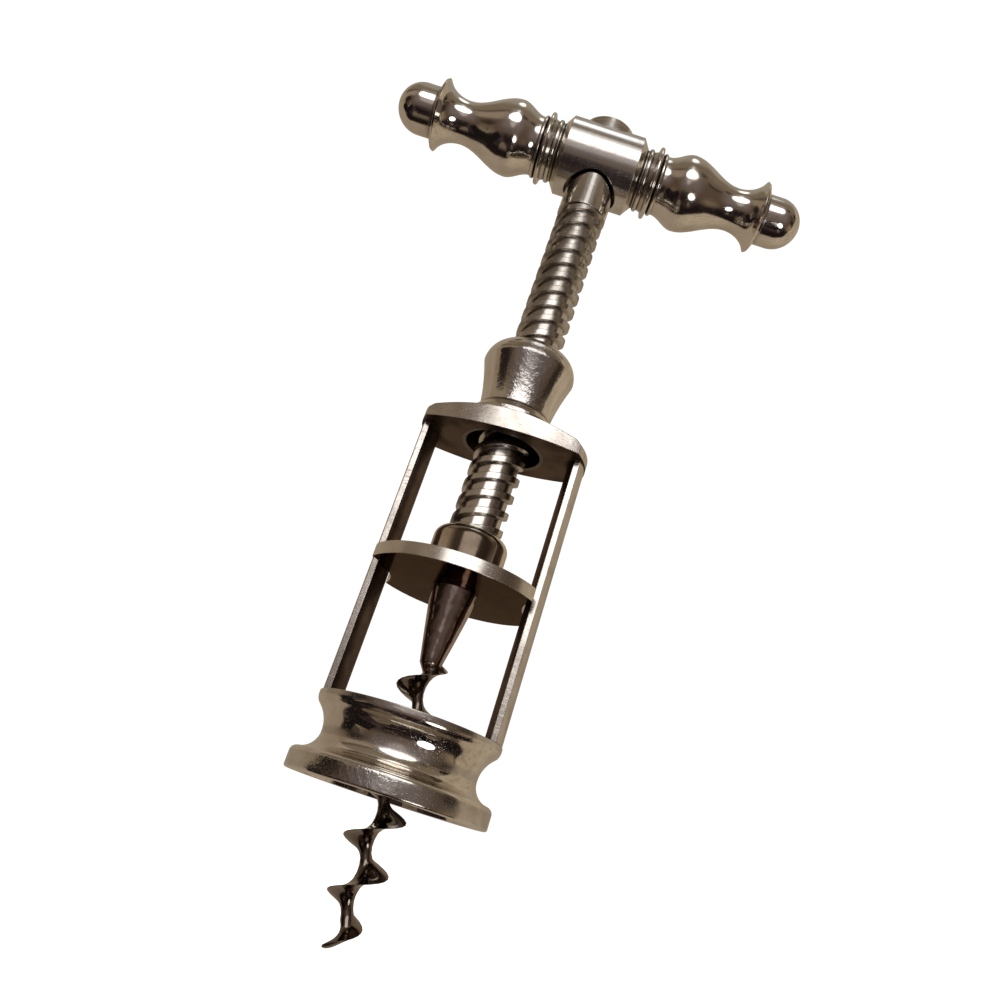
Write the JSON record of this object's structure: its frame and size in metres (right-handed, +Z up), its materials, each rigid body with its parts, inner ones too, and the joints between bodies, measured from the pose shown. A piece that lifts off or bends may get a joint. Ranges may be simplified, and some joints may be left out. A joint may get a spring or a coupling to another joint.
{
  "type": "open-frame corkscrew",
  "caption": "Open-frame metal corkscrew: a cage with a turned base, a threaded spindle with a baluster cross handle, and a sliding disc that carries a bladed worm.",
  "frame": {"origin": "centre of the rim's flat bottom face, where the corkscrew stands on the bottle", "axes": "+Z up the spindle towards the handle, +X through the posts to the right post as pictured, the picture's front looks along +Y"},
  "size_m": [0.0964, 0.0372, 0.1835],
  "materials": {
    "polished_nickel": "mirror polished, worn",
    "brushed_nickel": "finely scratched",
    "satin_steel": "satin",
    "dark_steel": "dark, glossy",
    "bronze": "plain"
  },
  "bodies": {
    "cage": {"frame": "polished_nickel", "thread_collar": "polished_nickel"},
    "carriage": {"guide_disc": "brushed_nickel", "swivel_cap": "polished_nickel", "worm": "dark_steel", "worm_nut": "dark_steel"},
    "spindle": {"drive_shaft": "satin_steel", "handle_bar": "polished_nickel", "dome_nut": "polished_nickel", "thrust_washer": "bronze"}
  },
  "joints": [
    {"name": "carriage_slide", "type": "slide", "parent": "cage", "child": "carriage", "axis": [0, 0, 1], "range_m": [-0.0249, 0.0265]},
    {"name": "handle_turn", "type": "hinge", "parent": "carriage", "child": "spindle", "pos_m": [0, 0, 0.1], "axis": [0, 0, 1], "range_deg": [-1185, 1260]}
  ],
  "couplings": [
    {"joint": "carriage_slide", "follows": "handle_turn", "m_per_rad": 0.0012016}
  ]
}
